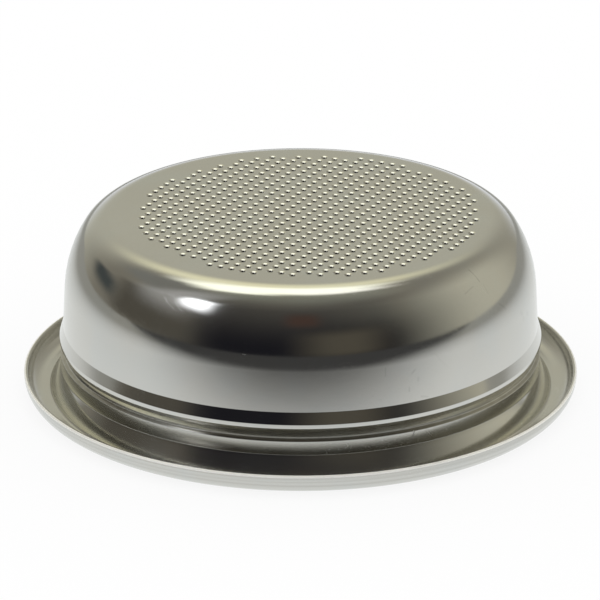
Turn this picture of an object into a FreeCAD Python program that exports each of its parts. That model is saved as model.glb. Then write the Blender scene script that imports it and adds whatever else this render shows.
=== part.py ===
"""Espresso filter basket for a 58 mm group, one deep-drawn sheet of steel, in mm.

It stands upside down, as it is photographed: the axis is Z, the rim's flange rests on z = 0
and the perforated disc is on top. The sheet's upper face is drawn once as a line from the
disc's middle out to the lip, the sheet's thickness is laid under it, the strip is turned
about the axis, and the disc is punched.
"""
import FreeCAD, Part
import math
import os

import Sketcher

NODE = "filter_basket"

DIMENSIONS = {
    "sheet": 0.5,
    "total_height": 23.1,
    "neck_radius": 30.3,
    "neck_rise": 3.15,
    "root_radius": 1.6,
    "seat_width": 0.6,
    "bend_radius": 2.0,
    "lip_rise": 0.3,
    "groove_depth": 0.35,
    "groove_lead": 0.25,
    "groove_width": 0.85,
    "ledge_stand": 0.12,
    "ledge_lead": 0.6,
    "ledge_width": 0.5,
    "bevel_rise": 1.45,
    "wall_step": 0.35,
    "wall_taper": 3.4,
    "shoulder_radius": 14.5,
    "corner_radius": 4.7,
    "corner_turn": 57.7,
    "shoulder_flats": 2,
    "corner_flats": 3,
    "root_flats": 2,
    "bend_flats": 2,
    "hole_radius": 0.3,
    "hole_sides": 6,
    "hole_pitch": 3.0,
    "punch_overrun": 0.5,
    "field_margin": 1.0,
    "field_turn": 63.4,
    "field_shift": 1.05,
}

# the flange and the groove, from the rim's foot upward and outward
SEAT_HEIGHT = "dims.sheet"
ROOT_CENTRE = ("dims.neck_radius + dims.root_radius", "dims.sheet + dims.root_radius")
BEND_CENTRE = (
    "dims.neck_radius + dims.root_radius + dims.seat_width",
    "dims.sheet + dims.bend_radius",
)
NECK_TOP = f"{ROOT_CENTRE[1]} + dims.neck_rise"
GROOVE_FOOT = f"{NECK_TOP} + dims.groove_lead"
GROOVE_TOP = f"{GROOVE_FOOT} + dims.groove_width"
LEDGE_FOOT = f"{GROOVE_TOP} + dims.ledge_lead"
LEDGE_TOP = f"{LEDGE_FOOT} + dims.ledge_width"
WALL_FOOT = f"{LEDGE_TOP} + dims.bevel_rise"
GROOVE_RADIUS = "dims.neck_radius - dims.groove_depth"
LEDGE_RADIUS = "dims.neck_radius + dims.ledge_stand"
WALL_FOOT_RADIUS = "dims.neck_radius - dims.wall_step"

# the cup, from the disc downward: heights first, then radii back from the wall's foot
TAPER = "dims.wall_taper * 1 deg"
TURN = "dims.corner_turn * 1 deg"
CORNER_HEIGHT = "dims.total_height - dims.corner_radius"
SHOULDER_LESS = "(dims.corner_radius - dims.shoulder_radius)"
SHOULDER_HEIGHT = f"{CORNER_HEIGHT} + {SHOULDER_LESS} * cos({TURN})"
WALL_TOP = f"{SHOULDER_HEIGHT} + dims.shoulder_radius * sin({TAPER})"
WALL_TOP_RADIUS = f"{WALL_FOOT_RADIUS} - ({WALL_TOP} - ({WALL_FOOT})) * tan({TAPER})"
SHOULDER_RADIAL = f"{WALL_TOP_RADIUS} - dims.shoulder_radius * cos({TAPER})"
DISC_RADIUS = f"{SHOULDER_RADIAL} - {SHOULDER_LESS} * sin({TURN})"


def make_dimensions(doc):
    """Give each driving dimension a cell of its own, named by its alias."""
    dims = doc.addObject("Spreadsheet::Sheet", "dims")
    for row, (name, value) in enumerate(DIMENSIONS.items(), start=1):
        dims.set(f"A{row}", name)
        dims.set(f"B{row}", str(value))
        dims.setAlias(f"B{row}", name)
    doc.recompute()
    return dims


def round_corners(centre, radius, first, last, flats):
    """The corners of a bend laid in short flats, each corner on the bend's true arc.

    Angles are in degrees from straight up, clockwise, as expressions.
    """
    corners = []
    for step in range(flats + 1):
        angle = f"({first} + ({last} - ({first})) * {step} / {flats}) * 1 deg"
        across = f"{centre[0]} + {radius} * sin({angle})"
        up = f"{centre[1]} + {radius} * cos({angle})"
        corners.append((across, up))
    return corners


def upper_face(dims):
    """The corners of the sheet's upper face, disc to lip, as pairs of expressions."""
    corners = [("0", "dims.total_height")]
    corner_arc = ((DISC_RADIUS, CORNER_HEIGHT), "dims.corner_radius", "0", "dims.corner_turn")
    corners += round_corners(*corner_arc, int(dims.corner_flats))
    shoulder_centre = (SHOULDER_RADIAL, SHOULDER_HEIGHT)
    shoulder_arc = (shoulder_centre, "dims.shoulder_radius", "dims.corner_turn")
    corners += round_corners(*shoulder_arc, "90 - dims.wall_taper", int(dims.shoulder_flats))[1:]
    corners += [
        (WALL_FOOT_RADIUS, WALL_FOOT),
        (LEDGE_RADIUS, LEDGE_TOP),
        (LEDGE_RADIUS, LEDGE_FOOT),
        (GROOVE_RADIUS, GROOVE_TOP),
        (GROOVE_RADIUS, GROOVE_FOOT),
        ("dims.neck_radius", NECK_TOP),
    ]
    root_arc = (ROOT_CENTRE, "dims.root_radius", "270", "180")
    corners += round_corners(*root_arc, int(dims.root_flats))
    bend_arc = (BEND_CENTRE, "dims.bend_radius", "180", "90")
    corners += round_corners(*bend_arc, int(dims.bend_flats))
    lip_radius = f"{BEND_CENTRE[0]} + dims.bend_radius"
    corners.append((lip_radius, f"{BEND_CENTRE[1]} + dims.lip_rise"))
    return corners


def hold(sketch, kind, line, end, value, expression):
    """Hold one end of a line at a distance from the origin, by an expression."""
    held = Sketcher.Constraint(kind, -1, 1, line, end, value)
    number = sketch.addConstraint(held)
    sketch.setExpression(f"Constraints[{number}]", expression)


def draw_upper_face(doc, dims):
    """The open line of the sheet's upper face, in the plane of the axis and a radius."""
    sketch = doc.addObject("Sketcher::SketchObject", "upper_face")
    sketch.Placement = FreeCAD.Placement(FreeCAD.Vector(), FreeCAD.Rotation(0, 0, 90))
    start, end = 1, 2
    axis = -2
    corners = upper_face(dims)
    places = []
    for across, up in corners:
        distances = [float(sketch.evalExpression(f"({e}) * 1.0")) for e in (across, up)]
        places.append(FreeCAD.Vector(*distances, 0))
    stretches = zip(places, places[1:], corners[1:])
    for line, (here, there, (across, up)) in enumerate(stretches):
        sketch.addGeometry(Part.LineSegment(here, there))
        if line == 0:
            sketch.addConstraint(Sketcher.Constraint("PointOnObject", line, start, axis))
            hold(sketch, "DistanceY", line, start, here.y, corners[0][1])
        else:
            joint = Sketcher.Constraint("Coincident", line - 1, end, line, start)
            sketch.addConstraint(joint)
        hold(sketch, "DistanceX", line, end, there.x, across)
        hold(sketch, "DistanceY", line, end, there.y, up)
    doc.recompute()
    return sketch


def make_shell(doc, dims):
    """The drawn sheet: its upper face thickened downward and turned round the axis."""
    strip = doc.addObject("Part::Offset2D", "sheet_strip")
    strip.Source = draw_upper_face(doc, dims)
    strip.setExpression("Value", "-dims.sheet")
    strip.Mode = "Skin"
    strip.Join = "Intersection"
    strip.Fill = True

    shell = doc.addObject("Part::Revolution", "drawn_shell")
    shell.Source = strip
    shell.Axis = FreeCAD.Vector(0, 0, 1)
    shell.Angle = 360
    shell.Solid = True
    return shell


def make_punch(doc):
    """One punch, standing through the disc at the middle of the field."""
    punch = doc.addObject("Part::Prism", "punch")
    punch.setExpression("Polygon", "dims.hole_sides")
    punch.setExpression("Circumradius", "dims.hole_radius * 1 mm")
    punch.setExpression("Height", "(dims.sheet + 2 * dims.punch_overrun) * 1 mm")
    punch.setExpression("Placement.Base.x", "dims.field_shift * 1 mm")
    foot = "(dims.total_height - dims.sheet - dims.punch_overrun) * 1 mm"
    punch.setExpression("Placement.Base.z", foot)
    punch.setExpression("Placement.Rotation.Angle", "dims.field_turn * 1 deg")
    doc.recompute()
    return punch


def field_sites(dims):
    """The square lattice's steps from its middle hole, out to the margin of the flat disc."""
    disc_radius = float(dims.evalExpression(f"({DISC_RADIUS}) * 1.0"))
    field_radius = disc_radius - dims.field_shift - dims.field_margin
    turn = math.radians(dims.field_turn)
    along = FreeCAD.Vector(math.cos(turn), math.sin(turn), 0) * dims.hole_pitch
    across = FreeCAD.Vector(-math.sin(turn), math.cos(turn), 0) * dims.hole_pitch
    reach = int(field_radius / dims.hole_pitch)
    steps = range(-reach, reach + 1)
    sites = [along * i + across * j for i in steps for j in steps]
    return [site for site in sites if site.Length <= field_radius]


def make_basket(doc, dims):
    """The shell with the field of holes punched through its disc."""
    shell = make_shell(doc, dims)
    punch = make_punch(doc)
    punches = doc.addObject("Part::Feature", "punches")
    copies = [punch.Shape.translated(site) for site in field_sites(dims)]
    punches.Shape = Part.makeCompound(copies)
    basket = doc.addObject("Part::Cut", NODE)
    basket.Base = shell
    basket.Tool = punches
    basket.Label = NODE
    return basket


def check(doc, basket):
    """Stop if any object failed, or if the basket is not one sound solid with open holes."""
    for item in doc.Objects:
        if "Invalid" in item.State or "Error" in item.State:
            raise RuntimeError(f"{item.Name} failed: {item.State}")
    shape = basket.Shape
    if shape.isNull() or not shape.isValid() or len(shape.Solids) != 1:
        raise RuntimeError(f"{basket.Label} is not one valid solid")
    if shape.Volume >= basket.Base.Shape.Volume:
        raise RuntimeError("the holes cut nothing")


def main():
    doc = FreeCAD.newDocument("espresso_filter_basket")
    dims = make_dimensions(doc)
    basket = make_basket(doc, dims)
    doc.recompute()
    check(doc, basket)
    os.makedirs("parts", exist_ok=True)
    basket.Shape.exportStep(f"parts/{NODE}.step")


main()
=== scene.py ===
import math

import bpy
from bpy.props import FloatProperty, FloatVectorProperty, IntProperty, PointerProperty
from bpy.types import Operator, Panel, PropertyGroup
from mathutils import Matrix, Vector


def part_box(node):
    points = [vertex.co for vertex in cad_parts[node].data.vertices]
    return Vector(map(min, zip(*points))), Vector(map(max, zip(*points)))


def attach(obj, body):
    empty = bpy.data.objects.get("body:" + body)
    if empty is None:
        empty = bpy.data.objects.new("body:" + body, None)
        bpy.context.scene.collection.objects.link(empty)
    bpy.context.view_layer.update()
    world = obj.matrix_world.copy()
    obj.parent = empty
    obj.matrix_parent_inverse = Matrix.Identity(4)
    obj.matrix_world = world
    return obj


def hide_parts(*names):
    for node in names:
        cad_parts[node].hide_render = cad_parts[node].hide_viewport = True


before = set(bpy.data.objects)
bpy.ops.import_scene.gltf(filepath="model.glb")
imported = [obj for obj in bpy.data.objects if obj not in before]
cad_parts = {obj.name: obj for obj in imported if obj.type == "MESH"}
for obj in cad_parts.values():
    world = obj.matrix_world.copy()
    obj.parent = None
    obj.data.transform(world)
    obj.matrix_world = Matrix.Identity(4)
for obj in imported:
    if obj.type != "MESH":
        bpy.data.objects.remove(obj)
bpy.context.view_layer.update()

bl_info = {
    "name": "Espresso Filter Basket",
    "version": (1, 0, 0),
    "blender": (4, 5, 0),
    "location": "3D View > Sidebar > Basket",
    "description": "Builds a perforated filter basket, its polished steel and its stage",
    "category": "Add Mesh",
}

NODE = "filter_basket"
BODY = "root"
BASE_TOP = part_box(NODE)[1][2]
RIM_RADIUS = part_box(NODE)[1][0]
MM = 0.001


def length(name, value, description):
    """A length that a user may change, given in millimetres."""
    return FloatProperty(name=name, default=value * MM, unit="LENGTH", description=description)


def angle(name, degrees, description):
    """An angle that a user may change, given in degrees."""
    radians = math.radians(degrees)
    return FloatProperty(name=name, default=radians, unit="ROTATION", description=description)


def colour(name, value, description):
    """A colour that a user may change."""
    kind = {"subtype": "COLOR", "size": 3, "min": 0, "max": 1}
    return FloatVectorProperty(name=name, default=value, description=description, **kind)


class BasketSizes(PropertyGroup):
    """Sizes of the drawn sheet's section, from the flange on the floor up to the base."""

    sheet: length("Sheet", 0.5, "Thickness of the drawn sheet")
    flange_width: length("Flange", 4.7, "From the neck to the outside of the lip")
    lip_height: length("Lip height", 2.8, "How high the lip's cut edge stands")
    root_radius: length("Root", 0.5, "Bend from the flared neck into the flange")
    flare_radius: length("Flare radius", 0.4, "Bend with which the neck flares out to the root")
    flare_top: length("Flare top", 3.55, "Height where the neck starts to flare out")
    bend_radius: length("Bend", 2.0, "Bend from the flange into the lip, inside")
    neck_top: length("Neck top", 5.25, "Height where the neck meets the groove")
    groove_foot: length("Groove foot", 5.5, "Height of the groove floor's lower edge")
    groove_top: length("Groove top", 6.4, "Height of the groove floor's upper edge")
    groove_depth: length("Groove depth", 0.43, "How far the groove's foot lies inside the neck")
    groove_lean: length("Groove lean", 0.25, "How far the groove's top stands out beyond its foot")
    ledge_foot: length("Ledge foot", 6.95, "Height of the ledge's lower edge")
    ledge_top: length("Ledge top", 7.45, "Height of the ledge's upper edge")
    ledge_stand: length("Ledge stand", 0.12, "How far the ledge stands out beyond the neck")
    wall_foot: length("Wall foot", 8.9, "Height where the bevel meets the wall")
    wall_step: length("Wall step", 0.35, "How far the wall's foot lies inside the neck")
    shoulder_radius: length("Shoulder", 14.5, "Large bend below the base's corner")
    corner_radius: length("Corner", 4.7, "Tight bend at the base's corner")
    wall_taper: angle("Taper", 3.4, "Lean of the wall")
    corner_turn: angle("Corner turn", 57.7, "How far the corner turns before the shoulder")
    neck_flare: angle("Neck flare", 24, "How far the neck leans out towards the root")
    crease_radius: length("Crease", 0.16, "Rounding of the rolled creases")
    cut_rounding: length("Cut edge", 0.22, "Rounding of the lip's cut edge")
    around: IntProperty(name="Steps around", default=192, min=48, description="Steps in a turn")


class HoleSizes(PropertyGroup):
    """Sizes of the field of punched holes in the base."""

    pitch: length("Pitch", 1.5, "Step of the square lattice")
    radius: length("Hole", 0.28, "Radius of a hole's bore")
    dish: length("Dish", 0.31, "Width of a hole's dished mouth")
    dish_depth: length("Dish depth", 0.15, "How far a mouth sinks")
    field_radius: length("Field", 21.4, "How far the field reaches")
    field_turn: angle("Turn", 63.4, "Lattice's turn")
    field_shift: length("Shift", 1.05, "Field's offset along X")
    sides: IntProperty(name="Sides", default=12, min=6, description="Facets round a hole")


class SteelFinish(PropertyGroup):
    """Colour and polish of the stainless sheet."""

    steel: colour("Steel", (0.64, 0.63, 0.60), "Reflection colour of the polished sheet")
    polish: FloatProperty(
        name="Roughness", default=0.10, min=0, max=1, description="Roughness of the sheet"
    )


class StageLook(PropertyGroup):
    """Camera, floor and light."""

    focal_px: FloatProperty(
        name="Focal length", default=4378.5, description="In pixels of the 600 px photograph"
    )
    look_down: angle("Look down", 21.78, "Camera's angle below the level")
    lean: angle("Lean", 0.03, "Camera's roll")
    distance: length("Distance", 556.4, "Camera to the rim's centre")
    aim_up: length("Aim up", 10.68, "How far above the rim's centre the camera aims")
    aim_side: length("Aim side", -0.055, "Aim along the picture")
    # painted shade: the floor as the metal sees it is darkened in its colour towards its front and
    # far off
    sheet_front: length("Sheet's front", -106, "Where the floor is dark, along Y")
    sheet_full: length("Sheet's light", -28, "Where the floor is fully lit, along Y")
    sheet_near: length("Sheet's near", 20, "How far off the floor keeps its full light")
    sheet_far: length("Sheet's far", 185, "How far off the floor has dimmed")
    sheet_colour: colour("Sheet", (0.92, 0.94, 0.93), "Lit floor, as the metal sees it")
    sheet_dark: colour("Sheet in the dark", (0.06, 0.06, 0.06), "Dark front of the floor")
    sheet_dim: colour("Sheet far off", (0.36, 0.36, 0.33), "Dimmed floor far off")
    sheet_lift: FloatProperty(
        name="Sheet's lift",
        default=0.85,
        min=0,
        max=1,
        description="How far the camera's view of the sheet is lifted to white",
    )


def rounded_outline(corners, steps_per_turn=36):
    """Round a polyline's corners: each is (across, up, radius). The ends stay as they are."""
    outline = [Vector(corners[0][:2])]
    for before, here, after in zip(corners, corners[1:], corners[2:]):
        point = Vector(here[:2])
        arriving = (point - Vector(before[:2])).normalized()
        leaving = (Vector(after[:2]) - point).normalized()
        turn = arriving.angle(leaving)
        side = 1 if arriving.cross(leaving) > 0 else -1
        start = point - arriving * here[2] * math.tan(turn / 2)
        inward = Vector((-arriving.y, arriving.x)) * side
        centre = start + inward * here[2]
        steps = max(2, round(steps_per_turn * turn / math.tau * 2))
        for step in range(steps + 1):
            spin = Matrix.Rotation(side * turn * step / steps, 2)
            outline.append(centre + spin @ (start - centre))
    outline.append(Vector(corners[-1][:2]))
    return outline


def upper_corners(sizes):
    """Corners of the sheet's upper face, from the base's edge to the lip, with their radii."""
    neck = RIM_RADIUS - sizes.flange_width
    foot = Vector((neck - sizes.wall_step, sizes.wall_foot))
    lean = sizes.wall_taper
    turn = sizes.corner_turn
    less = sizes.corner_radius - sizes.shoulder_radius
    shoulder_up = BASE_TOP - sizes.corner_radius + less * math.cos(turn)
    wall_top_up = shoulder_up + sizes.shoulder_radius * math.sin(lean)
    wall_top_across = foot.x - (wall_top_up - foot.y) * math.tan(lean)
    shoulder_across = wall_top_across - sizes.shoulder_radius * math.cos(lean)
    base_edge = shoulder_across - less * math.sin(turn)
    corner = base_edge + sizes.corner_radius * math.tan(turn / 2)
    handover = Vector((math.sin(turn), math.cos(turn))) * sizes.shoulder_radius
    handover += Vector((shoulder_across, shoulder_up))
    reach = sizes.shoulder_radius * math.tan((math.pi / 2 - lean - turn) / 2)
    shoulder = handover + Vector((math.cos(turn), -math.sin(turn))) * reach
    crease = sizes.crease_radius
    groove = neck - sizes.groove_depth
    ledge = neck + sizes.ledge_stand
    lip = RIM_RADIUS - sizes.sheet
    flare_up = sizes.flare_top - sizes.flare_radius * math.tan(sizes.neck_flare / 2)
    root = neck + (flare_up - sizes.sheet) * math.tan(sizes.neck_flare)
    return [
        (base_edge, BASE_TOP, 0),
        (corner, BASE_TOP, sizes.corner_radius),
        (shoulder.x, shoulder.y, sizes.shoulder_radius),
        (foot.x, foot.y, crease),
        (ledge, sizes.ledge_top, crease),
        (ledge, sizes.ledge_foot, crease),
        (groove + sizes.groove_lean, sizes.groove_top, crease),
        (groove, sizes.groove_foot, crease / 3),
        (neck, sizes.neck_top, crease / 2),
        (neck, flare_up, sizes.flare_radius),
        (root, sizes.sheet, sizes.root_radius),
        (lip, sizes.sheet, sizes.bend_radius),
        (lip, sizes.lip_height, 0),
    ]


def lower_corners(upper, sizes):
    """The same corners one sheet below, each bend wider or tighter by the sheet."""
    least = sizes.crease_radius / 4
    lower = []
    for number, (across, up, radius) in enumerate(upper):
        here = Vector((across, up))
        before = Vector(upper[max(number - 1, 0)][:2])
        after = Vector(upper[min(number + 1, len(upper) - 1)][:2])
        arriving = (here - before if number else after - here).normalized()
        leaving = (after - here if number < len(upper) - 1 else here - before).normalized()
        first = Vector((-arriving.y, arriving.x))
        second = Vector((-leaving.y, leaving.x))
        moved = here - (first + second) * (sizes.sheet / (1 + first.dot(second)))
        wider = sizes.sheet if arriving.cross(leaving) > 0 else -sizes.sheet
        lower.append((moved.x, moved.y, max(radius + wider, least)))
    return lower


def section_outline(sizes):
    """The whole section: upper face, the lip's rounded cut edge, lower face back inward."""
    upper = upper_corners(sizes)
    lower = lower_corners(upper, sizes)
    upper[-1] = (*upper[-1][:2], sizes.cut_rounding)
    lower[-1] = (*lower[-1][:2], sizes.cut_rounding)
    return rounded_outline(upper + lower[::-1])


class Tree:
    """A geometry or shader node tree that is written as calls."""

    def __init__(self, tree):
        self.tree = tree
        self.names = {}

    def socket(self, name, kind, direction="INPUT", **settings):
        made = self.tree.interface.new_socket(name=name, in_out=direction, socket_type=kind)
        for key, value in settings.items():
            setattr(made, key, value)
        self.names[name] = made.identifier

    def node(self, kind, inputs=None, **settings):
        made = self.tree.nodes.new(kind)
        for key, value in settings.items():
            setattr(made, key, value)
        for key, value in (inputs or {}).items():
            self.feed(made.inputs[key], value)
        return made

    def feed(self, socket, value):
        if isinstance(value, bpy.types.NodeSocket):
            self.tree.links.new(value, socket)
        else:
            socket.default_value = value

    def math(self, operation, *values):
        made = self.node("ShaderNodeMath", dict(enumerate(values)), operation=operation)
        return made.outputs[0]

    def fade(self, value, start, end, first, last):
        """A smooth step from first to last, as value goes from start to end."""
        inputs = {"Value": value, "From Min": start, "From Max": end}
        inputs |= {"To Min": first, "To Max": last}
        kind = {"interpolation_type": "SMOOTHSTEP", "clamp": False}
        return self.node("ShaderNodeMapRange", inputs, **kind).outputs["Result"]

    def mix(self, factor, first, second):
        """Two colours mixed by a factor."""
        made = self.node("ShaderNodeMix", data_type="RGBA")
        for number, value in ((0, factor), (6, first), (7, second)):
            self.feed(made.inputs[number], value)
        return made.outputs[2]

    def noise(self, place, scale, detail=2.0):
        """Smooth noise between 0 and 1, scale to the millimetre."""
        inputs = {"Vector": place, "Scale": scale, "Detail": detail}
        return self.node("ShaderNodeTexNoise", inputs).outputs[0]

    def near(self, value, middle, reach):
        """1 where value is at the middle, easing to 0 at the reach."""
        off = self.math("ABSOLUTE", self.math("SUBTRACT", value, middle))
        return self.fade(off, 0.0, reach, 1.0, 0.0)

    def total(self, *values):
        """The sum of several values."""
        whole = values[0]
        for value in values[1:]:
            whole = self.math("ADD", whole, value)
        return whole

    def times(self, first, second):
        """The product of two values."""
        return self.math("MULTIPLY", first, second)

    def vector(self, operation, *values):
        made = self.node("ShaderNodeVectorMath", dict(enumerate(values)), operation=operation)
        return made.outputs["Value" if operation in ("LENGTH", "DOT_PRODUCT") else "Vector"]

    def join(self, *geometries):
        made = self.node("GeometryNodeJoinGeometry")
        for geometry in reversed(geometries):
            self.tree.links.new(geometry, made.inputs[0])
        return made.outputs[0]

    def move(self, geometry, **inputs):
        made = self.node("GeometryNodeTransform", {"Geometry": geometry})
        for key, value in inputs.items():
            self.feed(made.inputs[key], value)
        return made.outputs[0]

    def smooth(self, geometry, on):
        inputs = {"Geometry": geometry, "Shade Smooth": on}
        return self.node("GeometryNodeSetShadeSmooth", inputs).outputs[0]


def turn_rows(tree, across, up, rows, columns, place):
    """A grid whose rows follow a section and whose columns go once round Z.

    place gives the row number's field, and across and up are fields that use it.
    """
    points = tree.math("ADD", columns, 1.0)
    grid = tree.node("GeometryNodeMeshGrid", {"Vertices X": points, "Vertices Y": rows})
    column = tree.math("FLOOR", tree.math("DIVIDE", place, rows))
    angle = tree.math("DIVIDE", tree.times(column, math.tau), columns)
    position = tree.node(
        "ShaderNodeCombineXYZ",
        {
            "X": tree.times(across, tree.math("COSINE", angle)),
            "Y": tree.times(across, tree.math("SINE", angle)),
            "Z": up,
        },
    )
    inputs = {"Geometry": grid.outputs["Mesh"], "Position": position.outputs[0]}
    turned = tree.node("GeometryNodeSetPosition", inputs).outputs[0]
    return tree.node("GeometryNodeFlipFaces", {"Mesh": turned}).outputs[0]


def basket_tree():
    """The geometry tree that turns the section, punches the base and joins them."""
    made = bpy.data.node_groups.new("Drawn and punched basket", "GeometryNodeTree")
    tree = Tree(made)
    tree.socket("Section", "NodeSocketGeometry")
    for name in ("Base Radius", "Base Top", "Sheet"):
        tree.socket(name, "NodeSocketFloat", subtype="DISTANCE")
    for name in ("Pitch", "Hole Radius", "Dish", "Dish Depth", "Field Radius", "Field Shift"):
        tree.socket(name, "NodeSocketFloat", subtype="DISTANCE")
    tree.socket("Field Turn", "NodeSocketFloat", subtype="ANGLE")
    tree.socket("Steps Around", "NodeSocketInt")
    tree.socket("Hole Sides", "NodeSocketInt")
    tree.socket("Steel", "NodeSocketMaterial")
    tree.socket("Basket", "NodeSocketGeometry", "OUTPUT")
    given = tree.node("NodeGroupInput").outputs

    shell = turned_section(tree, given)
    lattice = hole_lattice(tree, given)
    mouth = tree.math("ADD", given["Hole Radius"], given["Dish"])
    top = punched_face(tree, given, lattice, mouth)
    bottom = punched_face(tree, given, lattice, given["Hole Radius"])
    bottom = tree.node("GeometryNodeFlipFaces", {"Mesh": bottom}).outputs[0]
    under = tree.math("SUBTRACT", given["Base Top"], given["Sheet"])
    top = raised(tree, top, given["Base Top"])
    bottom = raised(tree, bottom, under)
    bores = raised(tree, hole_walls(tree, given, lattice), given["Base Top"])

    flat = tree.smooth(tree.join(top, bottom), False)
    curved = tree.smooth(tree.join(shell, bores), True)
    whole = tree.node("GeometryNodeRealizeInstances", {0: tree.join(flat, curved)}).outputs[0]
    weld = {"Geometry": whole, "Distance": 0.002 * MM}
    whole = tree.node("GeometryNodeMergeByDistance", weld).outputs[0]
    inputs = {"Geometry": whole, "Material": given["Steel"]}
    steel = tree.node("GeometryNodeSetMaterial", inputs).outputs[0]
    tree.node("NodeGroupOutput", {"Basket": steel})
    return tree


def raised(tree, geometry, height):
    """Geometry moved up by a height."""
    lift = tree.node("ShaderNodeCombineXYZ", {"Z": height}).outputs[0]
    return tree.move(geometry, Translation=lift)


def turned_section(tree, given):
    """The drawn sheet outside its flat base: the section's points turned round the axis."""
    size = tree.node("GeometryNodeAttributeDomainSize", {0: given["Section"]})
    rows = size.outputs["Point Count"]
    index = tree.node("GeometryNodeInputIndex").outputs[0]
    row = tree.math("FLOORED_MODULO", index, rows)
    sample = tree.node("GeometryNodeSampleIndex", data_type="FLOAT_VECTOR", domain="POINT")
    tree.feed(sample.inputs["Geometry"], given["Section"])
    tree.feed(sample.inputs["Value"], tree.node("GeometryNodeInputPosition").outputs[0])
    tree.feed(sample.inputs["Index"], row)
    place = tree.node("ShaderNodeSeparateXYZ", {0: sample.outputs[0]})
    across, up = place.outputs["X"], place.outputs["Z"]
    return turn_rows(tree, across, up, rows, given["Steps Around"], index)


def hole_lattice(tree, given):
    """The points of the square lattice that lie inside the field, turned and shifted."""
    reach = tree.math("FLOOR", tree.math("DIVIDE", given["Field Radius"], given["Pitch"]))
    count = tree.math("ADD", tree.times(reach, 2.0), 1.0)
    side = tree.times(tree.times(reach, 2.0), given["Pitch"])
    inputs = {"Size X": side, "Size Y": side, "Vertices X": count, "Vertices Y": count}
    grid = tree.node("GeometryNodeMeshGrid", inputs).outputs["Mesh"]
    far = tree.vector("LENGTH", tree.node("GeometryNodeInputPosition").outputs[0])
    outside = tree.math("GREATER_THAN", far, given["Field Radius"])
    inputs = {"Geometry": grid, "Selection": outside}
    inside = tree.node("GeometryNodeDeleteGeometry", inputs, domain="POINT").outputs[0]
    turn = tree.node("ShaderNodeCombineXYZ", {"Z": given["Field Turn"]}).outputs[0]
    shift = tree.node("ShaderNodeCombineXYZ", {"X": given["Field Shift"]}).outputs[0]
    return tree.move(inside, Rotation=turn, Translation=shift)


def punched_face(tree, given, lattice, radius):
    """One flat face of the base, with a round opening at each point of the lattice."""
    circle = {"Resolution": given["Hole Sides"], "Radius": radius}
    opening = tree.node("GeometryNodeCurvePrimitiveCircle", circle).outputs["Curve"]
    inputs = {"Points": lattice, "Instance": opening}
    openings = tree.node("GeometryNodeInstanceOnPoints", inputs).outputs[0]
    openings = tree.node("GeometryNodeRealizeInstances", {0: openings}).outputs[0]
    circle = {"Resolution": given["Steps Around"], "Radius": given["Base Radius"]}
    edge = tree.node("GeometryNodeCurvePrimitiveCircle", circle).outputs["Curve"]
    return tree.node("GeometryNodeFillCurve", {"Curve": tree.join(edge, openings)}).outputs[0]


def hole_walls(tree, given, lattice):
    """The dished mouth and the bore of each hole, down through the sheet."""
    dish_rows = 4.0
    rows = 6
    steepening = 1.2
    index = tree.node("GeometryNodeInputIndex").outputs[0]
    row = tree.math("FLOORED_MODULO", index, float(rows))
    along = tree.math("DIVIDE", tree.math("MINIMUM", row, dish_rows), dish_rows)
    mouth = tree.math("ADD", given["Hole Radius"], given["Dish"])
    across = tree.math("SUBTRACT", mouth, tree.times(given["Dish"], along))
    sunk = tree.times(given["Dish Depth"], tree.math("POWER", along, steepening))
    last = tree.math("GREATER_THAN", row, dish_rows + 0.5)
    rest = tree.times(last, tree.math("SUBTRACT", given["Sheet"], given["Dish Depth"]))
    up = tree.times(tree.math("ADD", sunk, rest), -1.0)
    bore = turn_rows(tree, across, up, rows, given["Hole Sides"], index)
    bore = tree.node("GeometryNodeFlipFaces", {"Mesh": bore}).outputs[0]
    inputs = {"Points": lattice, "Instance": bore}
    return tree.node("GeometryNodeInstanceOnPoints", inputs).outputs[0]


def section_mesh(outline):
    """The section's points as a mesh of vertices, across along X and up along Z."""
    mesh = bpy.data.meshes.new("section")
    mesh.from_pydata([(p.x, 0, p.y) for p in outline], [], [])
    return mesh


# zones of the surface, in mm: each is a product of steps over the height or the radius that
# rise from 0 to 1 between two places, or fall where the first place is the larger
ZONES = {
    "lip": (("across", 33.2, 34.4),),
    "bright cut edge": (("up", 2.5, 2.62), ("across", 34.7, 34.85)),
    "gutter": (("across", 30.6, 31.6), ("up", 3.4, 2.6)),
    "neck": (("up", 2.8, 4.4), ("up", 6.0, 4.4), ("across", 31.2, 30.5)),
    "wall": (("up", 8.6, 9.0), ("up", 23.0, 22.4)),
    "bores": (("up", 22.6, 22.63), ("up", 22.97, 22.86), ("across", 23.3, 23.1)),
    "base": (("up", 23.0, 23.09),),
}
# creases darkened with painted shade: height and reach (mm)
CREASES = ((5.4, 0.22), (6.42, 0.18))
# tones that are laid over the steel, among them painted shade and a painted highlight
TONES = {
    "cool film": (0.62, 0.63, 0.62, 1),
    # painted shade for the creases
    "painted crease shade": (0.24, 0.22, 0.17, 1),
    # painted shade for the holes' bores
    "bore": (0.05, 0.045, 0.035, 1),
    # painted shade for the neck
    "painted neck shade": (0.38, 0.37, 0.33, 1),
    "brushed": (0.42, 0.41, 0.38, 1),
    # painted highlight for the lip's cut edge
    "painted edge highlight": (0.97, 0.95, 0.90, 1),
    "scratch": (0.12, 0.115, 0.10, 1),
    "nick": (0.95, 0.95, 0.93, 1),
}
SCRATCH_DEPTH = 0.25
# directions in which the fine scratches run, as turns about X, Y and Z (radians)
RUBBED_TURNS = ((0.3, 0.9, 0.5), (1.1, -0.6, 2.1), (-0.7, 0.5, 1.3))
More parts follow.
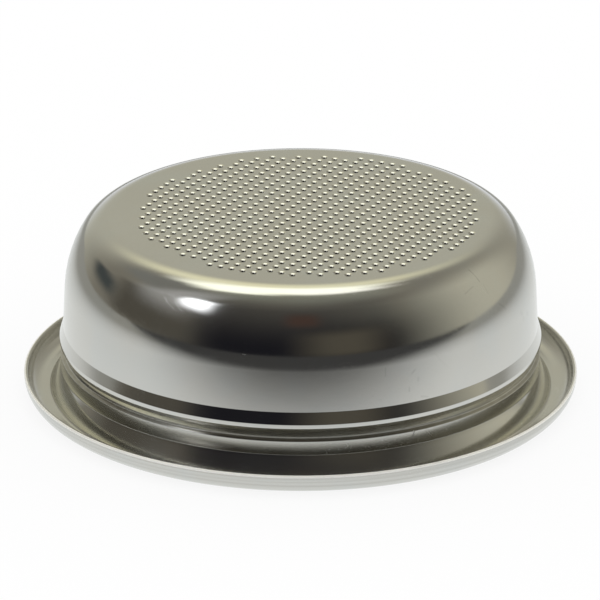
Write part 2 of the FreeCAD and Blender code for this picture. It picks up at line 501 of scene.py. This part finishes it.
# rubbed and scratched lines: both ends on the surface, width (mm) and depth of tone
SCRATCHES = (
    ((20.5, -16.6, 22.1), (21.8, -16.9, 20.7), 0.16, 0.6),
    ((20.96, -18.1, 20.5), (19.95, -19.5, 20.1), 0.16, 0.35),
    ((22.3, -16.7, 20.2), (22.9, -16.8, 19.0), 0.13, 0.3),
    ((24.3, -15.9, 17.4), (25.2, -15.0, 16.3), 0.18, 0.35),
    ((10.2, -27.85, 13.9), (10.2, -27.9, 12.8), 0.15, 0.3),
    ((13.8, -26.3, 13.0), (13.4, -26.5, 12.6), 0.18, 0.35),
    ((14.2, -26.2, 11.9), (14.2, -26.2, 11.5), 0.2, 0.3),
    ((13.1, -26.8, 10.9), (13.1, -26.8, 10.4), 0.16, 0.35),
    ((14.6, -26.1, 9.4), (15.4, -25.7, 9.2), 0.2, 0.3),
    ((13.7, -27.05, 4.9), (13.4, -27.2, 3.9), 0.18, 1.6),
    ((27.2, -11.7, 14.5), (27.3, -11.3, 14.2), 0.4, 0.25),
    ((28.1, -9.6, 13.7), (28.1, -9.6, 13.4), 0.35, 0.3),
    ((27.5, -11.1, 13.5), (27.6, -10.9, 13.3), 0.4, 0.2),
    ((14.0, -32.1, 2.8), (14.5, -31.9, 2.7), 0.25, 0.5),
    ((15.9, -31.0, 2.8), (16.9, -30.6, 2.7), 0.2, 0.5),
    ((18.3, -29.5, 2.8), (19.3, -28.8, 2.7), 0.2, 0.4),
    ((19.1, -28.6, 0.75), (18.8, -28.8, 0.6), 0.25, 0.5),
    ((10.2, -33.4, 1.1), (11.6, -33.0, 1.2), 0.2, 0.25),
)
# nicks that scatter the light: both ends on the surface and width (mm)
NICKS = (
    ((-6.9, -28.6, 15.9), (-6.6, -28.67, 15.88), 0.14),
    ((-8.2, -27.4, 17.9), (-8.0, -27.5, 17.7), 0.15),
    ((-5.9, -28.9, 14.6), (-5.8, -28.9, 14.4), 0.12),
    ((10.9, -33.3, 2.8), (11.6, -33.0, 2.7), 0.2),
    ((12.3, -32.8, 2.8), (12.9, -32.5, 2.75), 0.16),
    ((13.75, -27.0, 5.2), (13.7, -27.0, 5.0), 0.2),
    ((22.0, -17.2, 20.0), (22.5, -17.1, 19.2), 0.12),
)


def line_mask(tree, place, start, end, width):
    """1 along the line between two points in the basket's frame, easing to 0 at its width."""
    core = 0.3
    start, end = Vector(start), Vector(end)
    along = end - start
    from_start = tree.vector("SUBTRACT", place, tuple(start))
    share = tree.vector("DOT_PRODUCT", from_start, tuple(along / along.length_squared))
    share = tree.math("MINIMUM", tree.math("MAXIMUM", share, 0.0), 1.0)
    nearest = tree.node("ShaderNodeVectorMath", {0: tuple(along)}, operation="SCALE")
    tree.feed(nearest.inputs["Scale"], share)
    off = tree.vector("LENGTH", tree.vector("SUBTRACT", from_start, nearest.outputs[0]))
    return tree.fade(off, core * width, width, 1.0, 0.0)


def fine_scratches(tree, place, turn):
    """Sparse fine scratches that run along one direction, from a long-drawn noise."""
    long, thin = 7.0, 0.09
    inputs = {"Vector": place, "Rotation": turn, "Scale": (long, thin, thin)}
    drawn = tree.node("ShaderNodeMapping", inputs, vector_type="TEXTURE").outputs[0]
    return tree.fade(tree.noise(drawn, 1.0, 1.0), 0.7, 0.75, 0.0, 1.0)


def largest(tree, masks):
    """The largest of several masks at each place, each taken in as soon as it is made."""
    whole = 0.0
    for mask in masks:
        whole = tree.math("MAXIMUM", mask, whole)
    return whole


def zone_masks(tree, up, across):
    """A mask for each zone of the surface, from its height and its distance from the axis."""
    fields = {"up": up, "across": across}
    masks = {}
    for zone, steps in ZONES.items():
        whole = 1.0
        for field, start, end in steps:
            first, last = (0.0, 1.0) if start < end else (1.0, 0.0)
            step = tree.fade(fields[field], min(start, end), max(start, end), first, last)
            whole = tree.times(step, whole)
        masks[zone] = whole
    return masks


def rubbed_scratches(tree, place, wall):
    """Fine scratches in patches of the surface and all over the wall's right shoulder."""
    patches = tree.fade(tree.noise(place, 0.09), 0.42, 0.62, 0.0, 1.0)
    rightward = tree.vector("DOT_PRODUCT", place, (1, -0.4, 0))
    shoulder = tree.times(wall, tree.fade(rightward, 14.0, 28.0, 0.0, 1.0))
    fine = largest(tree, (fine_scratches(tree, place, turn) for turn in RUBBED_TURNS))
    return tree.times(fine, tree.math("MAXIMUM", patches, shoulder))


def steel_material(finish):
    """Polished stainless sheet: grain, turning lines, smudges and scratches, with painted shade in
    the creases, the bores and the neck and a painted highlight on the lip's cut edge.

    Places are in millimetres of the basket's own frame; heights of the relief are too.
    """
    steel = bpy.data.materials.new("Polished stainless sheet")
    steel.use_nodes = True
    steel.node_tree.nodes.clear()
    tree = Tree(steel.node_tree)
    metres = tree.node("ShaderNodeTexCoord").outputs["Object"]
    place = tree.vector("MULTIPLY", metres, (1 / MM, 1 / MM, 1 / MM))
    up = tree.node("ShaderNodeSeparateXYZ", {0: place}).outputs["Z"]
    level = tree.vector("MULTIPLY", place, (1, 1, 0))
    across = tree.vector("LENGTH", level)
    # noise on ring makes turning lines, and noise on spoke makes streaks down the wall
    ring = tree.node("ShaderNodeCombineXYZ", {"X": across, "Y": up}).outputs[0]
    ring = tree.vector("ADD", ring, tree.vector("MULTIPLY", level, (0.004, 0.004, 0)))
    spoke = tree.vector("MULTIPLY", tree.vector("NORMALIZE", level), (30, 30, 0))
    spoke = tree.vector("ADD", spoke, tree.vector("MULTIPLY", place, (0, 0, 0.05)))

    zones = zone_masks(tree, up, across)
    fine = rubbed_scratches(tree, place, zones["wall"])
    scratches = (
        tree.times(line_mask(tree, place, start, end, width), SCRATCH_DEPTH * tone)
        for start, end, width, tone in SCRATCHES
    )
    dark = largest(tree, scratches)
    nicks = largest(tree, (line_mask(tree, place, *nick) for nick in NICKS))
    smudges = tree.noise(place, 0.13, 3.0)
    mottle = tree.noise(place, 1.1, 3.0)
    brushed = tree.fade(tree.noise(ring, 3.0, 3.0), 0.4, 0.62, 0.0, 0.3)
    # painted shade: mottled darkening along the creases
    creases = largest(tree, (tree.near(up, *crease) for crease in CREASES))

    deep = [value * 0.94 for value in finish.steel]
    pale = [min(1, value * 1.03) for value in finish.steel]
    colour = tree.mix(tree.noise(place, 0.05), (*deep, 1), (*pale, 1))
    layers = (
        ("cool film", tree.fade(smudges, 0.4, 0.65, 0.0, 0.5)),
        # painted shade: the creases are darkened in their colour, mottled
        ("painted crease shade", tree.times(creases, tree.fade(mottle, 0.35, 0.65, 0.3, 0.5))),
        # painted shade: the bores and the foot of the dished mouths are darkened in their colour
        ("bore", zones["bores"]),
        # painted shade: the neck's reflection is darkened in its colour
        ("painted neck shade", tree.times(zones["neck"], 0.75)),
        ("brushed", tree.times(zones["lip"], brushed)),
        # painted highlight: a near-white line along the lip's cut edge
        ("painted edge highlight", zones["bright cut edge"]),
        ("scratch", dark),
        ("nick", tree.times(nicks, 0.5)),
    )
    for tone, mask in layers:
        colour = tree.mix(mask, colour, TONES[tone])

    rough = tree.total(
        tree.fade(smudges, 0.3, 0.7, finish.polish - 0.02, finish.polish + 0.03),
        tree.times(zones["gutter"], 0.07),
        tree.times(zones["base"], 0.04),
        tree.times(zones["neck"], 0.1),
        tree.times(zones["bright cut edge"], 0.3),
        tree.times(fine, 0.12),
        tree.times(largest(tree, (dark, zones["bores"])), 0.2),
        tree.times(nicks, 0.3),
    )

    grain = tree.total(0.0004, tree.times(zones["base"], 0.0008))
    lines = tree.total(0.0002, tree.times(zones["lip"], 0.0012))
    cuts = tree.total(fine, tree.times(dark, 2.0), nicks)
    relief = tree.total(
        tree.times(tree.noise(place, 3.2, 3.0), grain),
        tree.times(tree.noise(place, 0.35, 1.0), 0.003),
        tree.times(tree.noise(ring, 5.0), lines),
        tree.times(tree.noise(spoke, 1.2), tree.times(zones["wall"], 0.0006)),
        tree.times(cuts, -0.0015),
    )
    bump = tree.node("ShaderNodeBump", {"Strength": 1.0, "Distance": MM, "Height": relief})

    # painted highlight: the cut edge is made half non-metal, near white and rough, so it shows as
    # a bright line
    metal = tree.math("SUBTRACT", 1.0, tree.times(zones["bright cut edge"], 0.6))
    shader = tree.node("ShaderNodeBsdfPrincipled")
    tree.feed(shader.inputs["Base Color"], colour)
    tree.feed(shader.inputs["Metallic"], metal)
    tree.feed(shader.inputs["Roughness"], rough)
    tree.feed(shader.inputs["Normal"], bump.outputs[0])
    tree.node("ShaderNodeOutputMaterial", {"Surface": shader.outputs[0]})
    return steel


class BASKET_OT_make(Operator):
    """Turn the section, punch the base and finish the basket in steel"""

    bl_idname = "basket.make"
    bl_label = "Make the basket"

    def execute(self, context):
        scene = context.scene
        sizes, holes = scene.basket_sizes, scene.basket_holes
        outline = section_outline(sizes)
        source = bpy.data.objects.new("basket_section", section_mesh(outline))
        scene.collection.objects.link(source)
        tree = basket_tree()
        modifier = source.modifiers.new("basket", "NODES")
        modifier.node_group = tree.tree
        values = {
            "Base Radius": outline[0].x,
            "Base Top": BASE_TOP,
            "Sheet": sizes.sheet,
            "Pitch": holes.pitch,
            "Hole Radius": holes.radius,
            "Dish": holes.dish,
            "Dish Depth": holes.dish_depth,
            "Field Radius": holes.field_radius,
            "Field Shift": holes.field_shift,
            "Field Turn": holes.field_turn,
            "Steps Around": sizes.around,
            "Hole Sides": holes.sides,
            "Steel": steel_material(scene.basket_finish),
        }
        for name, value in values.items():
            modifier[tree.names[name]] = value
        context.view_layer.update()
        evaluated = source.evaluated_get(context.evaluated_depsgraph_get())
        mesh = bpy.data.meshes.new_from_object(evaluated)
        bpy.data.objects.remove(source)
        if not mesh.polygons:
            raise RuntimeError("the basket's tree made no faces")
        mesh.name = "drawn_basket"
        basket = bpy.data.objects.new("drawn_basket", mesh)
        scene.collection.objects.link(basket)
        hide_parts(NODE)
        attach(basket, BODY)
        return {"FINISHED"}


def camera_axes(look):
    """The camera's right, down and forward directions in the basket's frame."""
    level = math.cos(look.look_down)
    sink = math.sin(look.look_down)
    axes = [Vector((1, 0, 0)), Vector((0, -sink, -level)), Vector((0, level, -sink))]
    spin = Matrix.Rotation(look.lean, 2)
    right = axes[0] * spin[0][0] + axes[1] * spin[0][1]
    down = axes[0] * spin[1][0] + axes[1] * spin[1][1]
    return right, down, axes[2]


def add_camera(scene, look):
    """The camera at the photograph's place and angle."""
    photo_px = 600
    right, down, forward = camera_axes(look)
    camera = bpy.data.cameras.new("camera")
    camera.sensor_fit = "HORIZONTAL"
    camera.lens = camera.sensor_width * look.focal_px / photo_px
    camera.clip_start = 0.01
    camera.clip_end = 20
    place = right * look.aim_side - down * look.aim_up - forward * look.distance
    viewer = bpy.data.objects.new("camera", camera)
    turned = Matrix((right, -down, -forward)).transposed().to_4x4()
    viewer.matrix_world = Matrix.Translation(place) @ turned
    scene.collection.objects.link(viewer)
    scene.camera = viewer


def add_floor(scene, look):
    """A white sheet that keeps the basket's shadow and falls into the dark in front of it.

    The metal sees the sheet darken towards its front edge and far off, a shade painted into its
    colour for glossy rays, in which it only glows; the camera sees it white.
    """
    half = 1.5
    mesh = bpy.data.meshes.new("floor")
    corners = [(-half, -half, 0), (half, -half, 0), (half, half, 0), (-half, half, 0)]
    mesh.from_pydata(corners, [], [(0, 1, 2, 3)])
    floor = bpy.data.objects.new("floor", mesh)
    scene.collection.objects.link(floor)
    paint = bpy.data.materials.new("White sheet")
    paint.use_nodes = True
    paint.node_tree.nodes.clear()
    tree = Tree(paint.node_tree)
    place = tree.node("ShaderNodeTexCoord").outputs["Object"]
    depth = tree.node("ShaderNodeSeparateXYZ", {0: place}).outputs["Y"]
    path = tree.node("ShaderNodeLightPath").outputs
    # painted shade for glossy rays: the sheet's colour darkens towards its front and dims far off
    lit = tree.fade(depth, look.sheet_front, look.sheet_full, 0.0, 1.0)
    far = tree.fade(tree.vector("LENGTH", place), look.sheet_near, look.sheet_far, 0.0, 1.0)
    mirrored = tree.mix(far, (*look.sheet_colour, 1), (*look.sheet_dim, 1))
    mirrored = tree.mix(lit, (*look.sheet_dark, 1), mirrored)
    colour = tree.mix(path["Is Glossy Ray"], (*look.sheet_colour, 1), mirrored)
    colour = tree.mix(path["Is Camera Ray"], colour, (1, 1, 1, 1))
    matt = tree.node("ShaderNodeBsdfDiffuse", {"Color": colour})
    glow = tree.node("ShaderNodeEmission", {"Color": colour})
    # glossy rays see the sheet only glow in this painted colour; the camera sees it lifted towards
    # white
    lift = tree.times(path["Is Camera Ray"], look.sheet_lift)
    lift = tree.math("MAXIMUM", path["Is Glossy Ray"], lift)
    both = tree.node("ShaderNodeMixShader", {0: lift, 1: matt.outputs[0], 2: glow.outputs[0]})
    tree.node("ShaderNodeOutputMaterial", {"Surface": both.outputs[0]})
    mesh.materials.append(paint)


ROOM = (0.245, 0.231, 0.193, 1)
# what the metal sees in the room, each panel over the ones before: azimuth and elevation of its
# middle, half width and half height, how far it fades out aside and up or down (all in
# degrees; azimuth 0 is towards the viewer and 90 to the right), and its colour
PANELS = (
    ("right wall", 85, -2, 28, 28, 49, 34, (0.60, 0.58, 0.47)),
    ("back wall", 188, -3, 11, 30, 47, 39, (0.54, 0.53, 0.44)),
    ("overhead", 0, 90, 180, 12, 5, 25, (0.29, 0.29, 0.24)),
    ("back glow", 178, -30, 0, 18, 34, 28, (1.43, 1.50, 1.70)),
    ("lower back light", 186, 50, 8, 2, 29, 22, (1.10, 1.06, 0.75)),
    ("back light", 202, 68, 33, 6, 25, 13, (1.83, 1.84, 1.56)),
    ("right back light", 162, 72, 12, 2, 27, 12, (1.76, 1.74, 1.57)),
    ("dark front", 1, -9, 37, 13, 67, 107, (0.014, 0.014, 0.018)),
    ("left shadow", -80, 12, 16, 8, 18, 9, (0.10, 0.092, 0.075)),
    ("left card", -78, 43, 6, 7, 21, 24, (0.45, 0.45, 0.44)),
    ("lamp", -60, 37, 2, 2, 12, 9, (3.4, 3.5, 3.7)),
    ("dark object", -117, 10, 5, 1, 12, 7, (0.07, 0.08, 0.08)),
    ("left shade", -110, 49, 11, 7, 20, 13, (0.23, 0.23, 0.21)),
    ("window strip", 21, 10, 3, 6, 29, 11, (0.10, 0.09, 0.07)),
    ("warm spot", 1, 34, 4, 2, 9, 7, (0.08, 0.05, 0.04)),
)


def add_panel(tree, surroundings, azimuth, elevation, panel):
    """Lay one soft-edged panel over the surroundings' colour."""
    name, middle, height, half_width, half_height, fade_aside, fade_along, colour = panel
    aside = tree.math("WRAP", tree.math("SUBTRACT", azimuth, middle), 180.0, -180.0)
    aside = tree.math("ABSOLUTE", aside)
    above = tree.math("ABSOLUTE", tree.math("SUBTRACT", elevation, height))
    across = tree.fade(aside, half_width, half_width + fade_aside, 1.0, 0.0)
    along = tree.fade(above, half_height, half_height + fade_along, 1.0, 0.0)
    mask = tree.times(across, along)
    laid = tree.mix(mask, surroundings, (*colour, 1))
    laid.node.label = name
    return laid


def add_world(scene):
    """White surroundings, in which the metal sees a room with a light behind the basket."""
    world = bpy.data.worlds.new("Studio")
    scene.world = world
    world.use_nodes = True
    world.node_tree.nodes.clear()
    tree = Tree(world.node_tree)
    towards = tree.node("ShaderNodeTexCoord").outputs["Generated"]
    split = tree.node("ShaderNodeSeparateXYZ", {0: towards}).outputs
    azimuth = tree.math("ARCTAN2", split["X"], tree.times(split["Y"], -1.0))
    azimuth = tree.math("DEGREES", azimuth)
    elevation = tree.math("DEGREES", tree.math("ARCSINE", split["Z"]))
    room = ROOM
    for panel in PANELS:
        room = add_panel(tree, room, azimuth, elevation, panel)
    seen = tree.node("ShaderNodeLightPath").outputs["Is Glossy Ray"]
    shown = tree.mix(seen, (1, 1, 1, 1), room)
    backdrop = tree.node("ShaderNodeBackground", {"Color": shown, "Strength": 1.0})
    tree.node("ShaderNodeOutputWorld", {"Surface": backdrop.outputs[0]})
    world.cycles.sampling_method = "NONE"


class BASKET_OT_stage(Operator):
    """Set up the camera, the white floor and the soft studio light"""

    bl_idname = "basket.stage"
    bl_label = "Set the stage"

    def execute(self, context):
        scene = context.scene
        scene.view_settings.view_transform = "Standard"
        add_camera(scene, scene.basket_look)
        add_floor(scene, scene.basket_look)
        add_world(scene)
        return {"FINISHED"}


class BASKET_PT_panel(Panel):
    """Lists the basket's sizes and its two steps"""

    bl_label = "Filter basket"
    bl_idname = "BASKET_PT_panel"
    bl_space_type = "VIEW_3D"
    bl_region_type = "UI"
    bl_category = "Basket"

    def draw(self, context):
        for name in GROUPS:
            group = getattr(context.scene, name)
            box = self.layout.box()
            for key in group.bl_rna.properties.keys():
                if key not in ("rna_type", "name"):
                    box.prop(group, key)
        for step in STEPS:
            self.layout.operator(step.bl_idname)


GROUPS = {
    "basket_sizes": BasketSizes,
    "basket_holes": HoleSizes,
    "basket_finish": SteelFinish,
    "basket_look": StageLook,
}
STEPS = (BASKET_OT_make, BASKET_OT_stage)
CLASSES = (*GROUPS.values(), *STEPS, BASKET_PT_panel)


def register():
    for kind in CLASSES:
        bpy.utils.register_class(kind)
    for name, kind in GROUPS.items():
        setattr(bpy.types.Scene, name, PointerProperty(type=kind))


def unregister():
    for name in GROUPS:
        delattr(bpy.types.Scene, name)
    for kind in reversed(CLASSES):
        bpy.utils.unregister_class(kind)


def main():
    register()
    bpy.ops.basket.make()
    bpy.ops.basket.stage()


if __name__ == "__main__":
    main()
